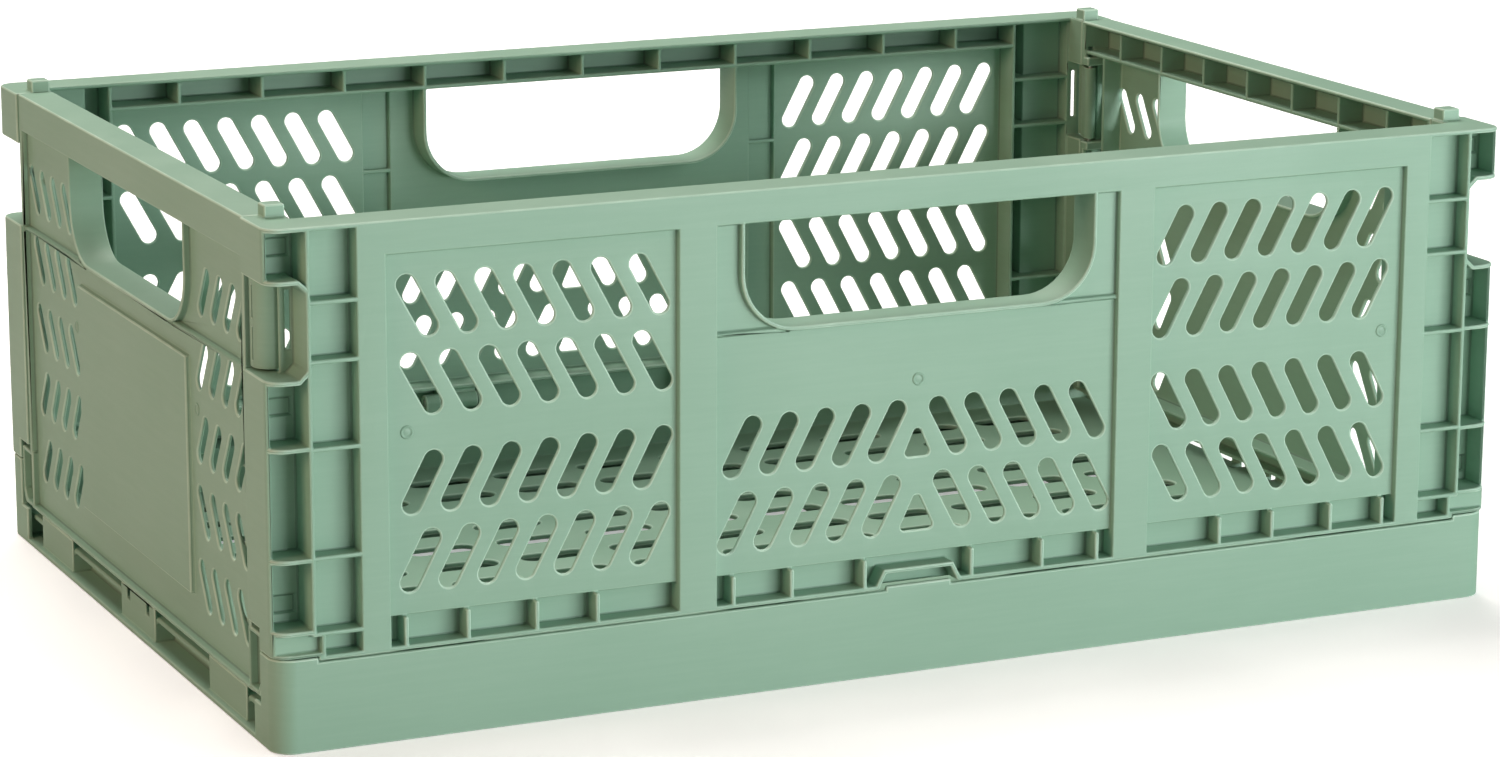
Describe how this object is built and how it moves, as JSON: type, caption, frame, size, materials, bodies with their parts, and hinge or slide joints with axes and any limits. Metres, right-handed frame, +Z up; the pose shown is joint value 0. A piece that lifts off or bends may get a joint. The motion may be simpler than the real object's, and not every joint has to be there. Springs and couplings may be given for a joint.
{
  "type": "collapsible storage crate",
  "caption": "Open-topped folding crate with slotted lattice walls, hand holes in every side, a shallow tray base and corner latches; end walls hinge inwards.",
  "frame": {"origin": "centre of the base's footprint, on the surface it stands on", "axes": "+X along the long side, +Y from the front long wall to the back long wall, +Z up"},
  "size_m": [0.6, 0.4, 0.2296],
  "materials": {
    "sage_plastic": "fine satin grain, sage green polypropylene",
    "pin_steel": "plain drawn wire"
  },
  "bodies": {
    "base": {"base_tray": "sage_plastic", "front_wall": "sage_plastic", "back_wall": "sage_plastic", "hinge_pin_front_1": "pin_steel", "hinge_pin_front_2": "pin_steel", "hinge_pin_front_3": "pin_steel", "hinge_pin_front_4": "pin_steel", "hinge_pin_back_1": "pin_steel", "hinge_pin_back_2": "pin_steel", "hinge_pin_back_3": "pin_steel", "hinge_pin_back_4": "pin_steel", "end_pin_front_left": "pin_steel", "end_pin_back_left": "pin_steel", "end_pin_front_right": "pin_steel", "end_pin_back_right": "pin_steel"},
    "left_end": {"left_end_wall": "sage_plastic", "latch_pin_front_left": "pin_steel", "latch_pin_back_left": "pin_steel"},
    "right_end": {"right_end_wall": "sage_plastic", "latch_pin_front_right": "pin_steel", "latch_pin_back_right": "pin_steel"},
    "latch_front_left_body": {"latch_front_left": "sage_plastic"},
    "latch_back_left_body": {"latch_back_left": "sage_plastic"},
    "latch_front_right_body": {"latch_front_right": "sage_plastic"},
    "latch_back_right_body": {"latch_back_right": "sage_plastic"}
  },
  "joints": [
    {"name": "left_end_fold", "type": "hinge", "parent": "base", "child": "left_end", "pos_m": [-0.291, 0, 0.024], "axis": [0, 1, 0], "range_deg": [0, 90]},
    {"name": "right_end_fold", "type": "hinge", "parent": "base", "child": "right_end", "pos_m": [0.291, 0, 0.024], "axis": [0, -1, 0], "range_deg": [0, 90]},
    {"name": "latch_front_left_press", "type": "hinge", "parent": "left_end", "child": "latch_front_left_body", "pos_m": [-0.286, -0.164, 0.18], "axis": [0, 0, 1], "range_deg": [0, 12], "stiffness_Nm_per_rad": 0.05},
    {"name": "latch_front_right_press", "type": "hinge", "parent": "right_end", "child": "latch_front_right_body", "pos_m": [0.286, -0.164, 0.18], "axis": [0, 0, -1], "range_deg": [0, 12], "stiffness_Nm_per_rad": 0.05},
    {"name": "latch_back_left_press", "type": "hinge", "parent": "left_end", "child": "latch_back_left_body", "pos_m": [-0.286, 0.164, 0.18], "axis": [0, 0, -1], "range_deg": [0, 12], "stiffness_Nm_per_rad": 0.05},
    {"name": "latch_back_right_press", "type": "hinge", "parent": "right_end", "child": "latch_back_right_body", "pos_m": [0.286, 0.164, 0.18], "axis": [0, 0, 1], "range_deg": [0, 12], "stiffness_Nm_per_rad": 0.05}
  ]
}
